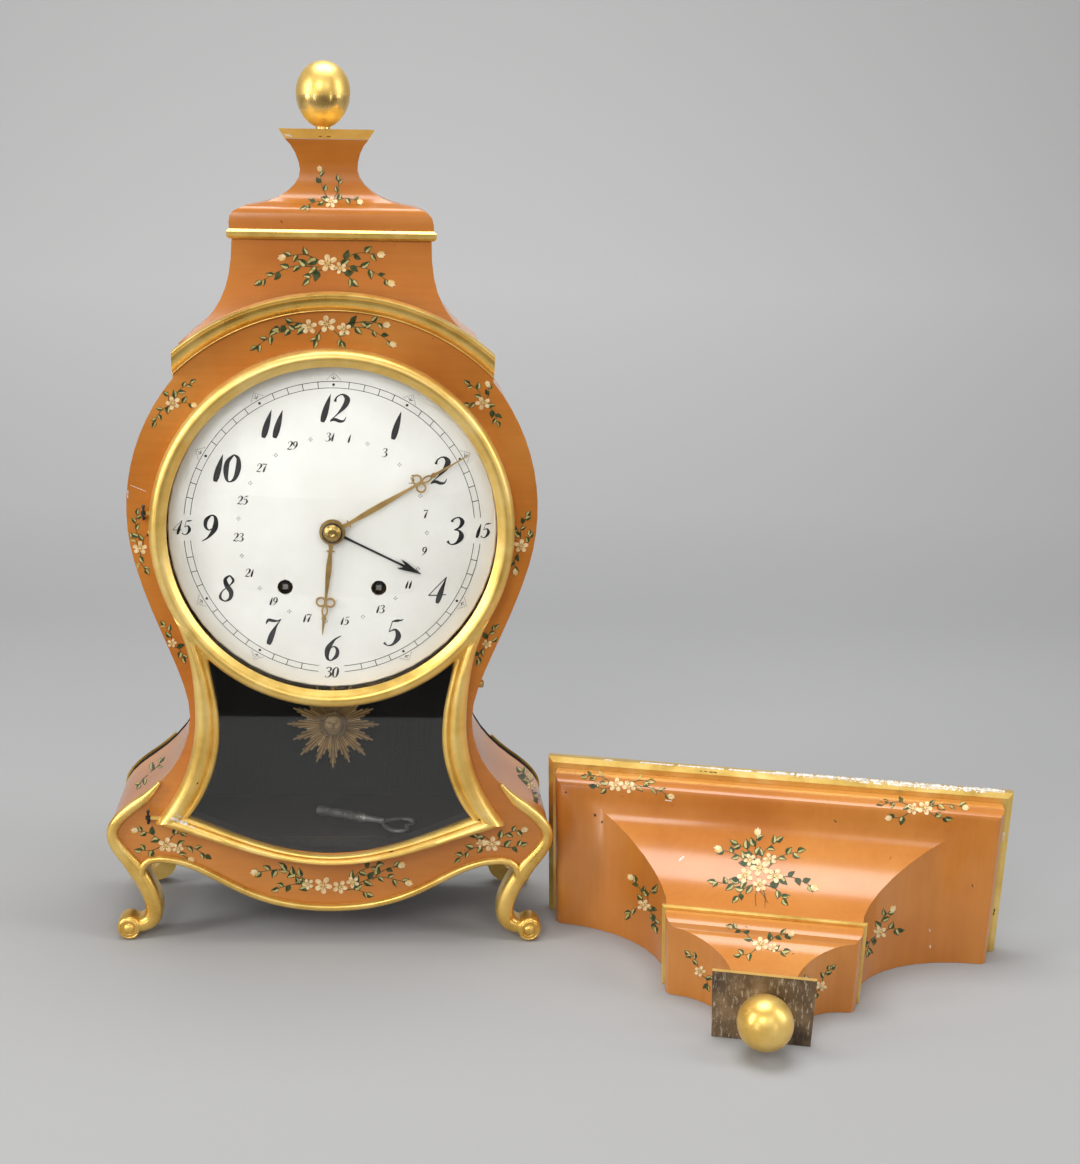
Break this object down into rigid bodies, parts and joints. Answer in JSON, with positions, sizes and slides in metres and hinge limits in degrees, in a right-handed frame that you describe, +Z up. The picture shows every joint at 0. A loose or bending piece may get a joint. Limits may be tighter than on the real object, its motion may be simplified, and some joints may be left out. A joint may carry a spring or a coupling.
{
  "type": "bracket clock with wall bracket",
  "caption": "Waisted painted bracket clock with scroll legs, glazed door, enamel dial, wheel train and pendulum, and its wall bracket lying beside it.",
  "frame": {"origin": "on the floor at the middle of the box round the clock and its bracket", "axes": "+Z up, the clock faces -Y, +X to the right seen from the front"},
  "size_m": [0.688, 0.3239, 0.66],
  "materials": {
    "lacquer": "orange painted and varnished wood with painted flower sprays",
    "gilt": "carved wood, gesso and gilding",
    "bare_wood": "dark unpainted wood",
    "worn_wood": "worn gilding over dark wood",
    "enamel": "white vitreous enamel on copper",
    "glass": "clear glass",
    "brass": "polished brass",
    "gilt_brass": "stamped and gilt brass",
    "steel": "polished steel",
    "dark_steel": "blackened steel"
  },
  "bodies": {
    "case": {"front_panel": "lacquer", "side_panel_left": "lacquer", "side_panel_right": "lacquer", "back_board": "lacquer", "bottom_board": "bare_wood", "top_board": "lacquer", "seat_board": "bare_wood", "arch_cornice": "gilt", "hood_body": "lacquer", "hood_band": "gilt", "hood_cap": "lacquer", "cap_plate": "gilt", "finial": "gilt", "leg_front_left": "gilt", "leg_front_right": "gilt", "leg_rear_left": "gilt", "leg_rear_right": "gilt", "apron_edging": "gilt", "hinge_upper": "brass", "hinge_lower": "brass", "door_catch": "brass", "dial": "enamel", "front_plate": "brass", "back_plate": "brass", "back_cock": "brass", "bell_stand": "steel", "bell": "brass"},
    "door": {"door_frame": "gilt", "dial_glass": "glass", "window_glass": "glass"},
    "release_button": {"release_button": "brass"},
    "minute": {"minute_hand": "brass", "cannon_pinion": "brass", "hand_nut": "brass"},
    "minute_wheel": {"minute_wheel": "brass"},
    "hour": {"hour_hand": "brass", "hour_wheel": "brass"},
    "date_hand": {"date_hand": "dark_steel"},
    "going_barrel": {"going_barrel": "brass"},
    "going_winding_arbor": {"going_winding_arbor": "steel"},
    "intermediate_wheel": {"intermediate_wheel": "brass"},
    "centre_wheel": {"centre_wheel": "brass"},
    "third_wheel": {"third_wheel": "brass"},
    "escape_wheel": {"escape_wheel": "brass"},
    "pallet_anchor": {"pallet_anchor": "steel"},
    "strike_barrel": {"strike_barrel": "brass"},
    "strike_winding_arbor": {"strike_winding_arbor": "steel"},
    "pin_wheel": {"pin_wheel": "brass"},
    "fly": {"fly": "brass"},
    "hammer": {"hammer": "steel"},
    "pendulum": {"pendulum_rod": "brass", "pendulum_bob": "gilt_brass"},
    "winding_key": {"winding_key": "dark_steel"},
    "bracket": {"bracket_shelf": "gilt", "bracket_upper_body": "lacquer", "bracket_lower_edge": "gilt", "bracket_lower_body": "lacquer", "bracket_base_plate": "worn_wood", "bracket_ball": "gilt"}
  },
  "joints": [
    {"name": "door_hinge", "type": "hinge", "parent": "case", "child": "door", "pos_m": [-0.31125, 0.03575, 0], "axis": [0, 0, -1], "range_deg": [0, 110]},
    {"name": "release_press", "type": "slide", "parent": "case", "child": "release_button", "axis": [-1, 0, 0], "range_m": [0, 0.003], "stiffness_N_per_m": 300, "springref_m": -0.001},
    {"name": "minute_turn", "type": "hinge", "parent": "case", "child": "minute", "pos_m": [-0.17375, 0.04355, 0.3225], "axis": [0, 1, 0], "continuous": true},
    {"name": "minute_wheel_turn", "type": "hinge", "parent": "case", "child": "minute_wheel", "pos_m": [-0.19454, 0.04355, 0.3345], "axis": [0, 1, 0], "continuous": true},
    {"name": "hour_turn", "type": "hinge", "parent": "case", "child": "hour", "pos_m": [-0.17375, 0.04355, 0.3225], "axis": [0, 1, 0], "continuous": true},
    {"name": "date_turn", "type": "hinge", "parent": "case", "child": "date_hand", "pos_m": [-0.17375, 0.04355, 0.3225], "axis": [0, 1, 0], "continuous": true},
    {"name": "third_turn", "type": "hinge", "parent": "case", "child": "third_wheel", "pos_m": [-0.17876, 0.04355, 0.35092], "axis": [0, 1, 0], "continuous": true},
    {"name": "centre_turn", "type": "hinge", "parent": "case", "child": "centre_wheel", "pos_m": [-0.17375, 0.04355, 0.3225], "axis": [0, 1, 0], "continuous": true},
    {"name": "escape_turn", "type": "hinge", "parent": "case", "child": "escape_wheel", "pos_m": [-0.17464, 0.04355, 0.37432], "axis": [0, 1, 0], "continuous": true},
    {"name": "intermediate_turn", "type": "hinge", "parent": "case", "child": "intermediate_wheel", "pos_m": [-0.20548, 0.04355, 0.31299], "axis": [0, 1, 0], "continuous": true},
    {"name": "going_barrel_turn", "type": "hinge", "parent": "case", "child": "going_barrel", "pos_m": [-0.20825, 0.04355, 0.2795], "axis": [0, 1, 0], "continuous": true},
    {"name": "going_winding_turn", "type": "hinge", "parent": "case", "child": "going_winding_arbor", "pos_m": [-0.20825, 0.04355, 0.2795], "axis": [0, 1, 0], "continuous": true},
    {"name": "pin_wheel_turn", "type": "hinge", "parent": "case", "child": "pin_wheel", "pos_m": [-0.14203, 0.04355, 0.31299], "axis": [0, 1, 0], "continuous": true},
    {"name": "strike_barrel_turn", "type": "hinge", "parent": "case", "child": "strike_barrel", "pos_m": [-0.13925, 0.04355, 0.2795], "axis": [0, 1, 0], "continuous": true},
    {"name": "fly_turn", "type": "hinge", "parent": "case", "child": "fly", "pos_m": [-0.13744, 0.04355, 0.33898], "axis": [0, 1, 0], "continuous": true},
    {"name": "strike_winding_turn", "type": "hinge", "parent": "case", "child": "strike_winding_arbor", "pos_m": [-0.13925, 0.04355, 0.2795], "axis": [0, 1, 0], "continuous": true},
    {"name": "hammer_swing", "type": "hinge", "parent": "case", "child": "hammer", "pos_m": [-0.12375, 0.04355, 0.3725], "axis": [0, 1, 0], "range_deg": [0, 12], "stiffness_Nm_per_rad": 0.02, "springref_deg": -5.73},
    {"name": "pendulum_swing", "type": "hinge", "parent": "case", "child": "pendulum", "pos_m": [-0.17375, 0.12355, 0.3945], "axis": [0, 1, 0], "range_deg": [-4, 4]},
    {"name": "anchor_swing", "type": "hinge", "parent": "case", "child": "pallet_anchor", "pos_m": [-0.17375, 0.04355, 0.3945], "axis": [0, 1, 0], "range_deg": [-4, 4]},
    {"name": "key_lift", "type": "slide", "parent": "case", "child": "winding_key", "axis": [0, 0, 1], "range_m": [0, 0.1]},
    {"name": "bracket_lift", "type": "slide", "parent": "case", "child": "bracket", "axis": [0, 0, 1], "range_m": [0, 0.3]}
  ],
  "couplings": [
    {"joint": "minute_wheel_turn", "follows": "minute_turn", "ratio": -0.33333},
    {"joint": "hour_turn", "follows": "minute_turn", "ratio": 0.083333},
    {"joint": "centre_turn", "follows": "third_turn", "ratio": -0.083333},
    {"joint": "escape_turn", "follows": "third_turn", "ratio": -10},
    {"joint": "intermediate_turn", "follows": "third_turn", "ratio": 0.010417},
    {"joint": "going_barrel_turn", "follows": "third_turn", "ratio": -0.0011574},
    {"joint": "strike_barrel_turn", "follows": "pin_wheel_turn", "ratio": -0.11111},
    {"joint": "fly_turn", "follows": "pin_wheel_turn", "ratio": -10},
    {"joint": "anchor_swing", "follows": "pendulum_swing", "ratio": 1}
  ]
}
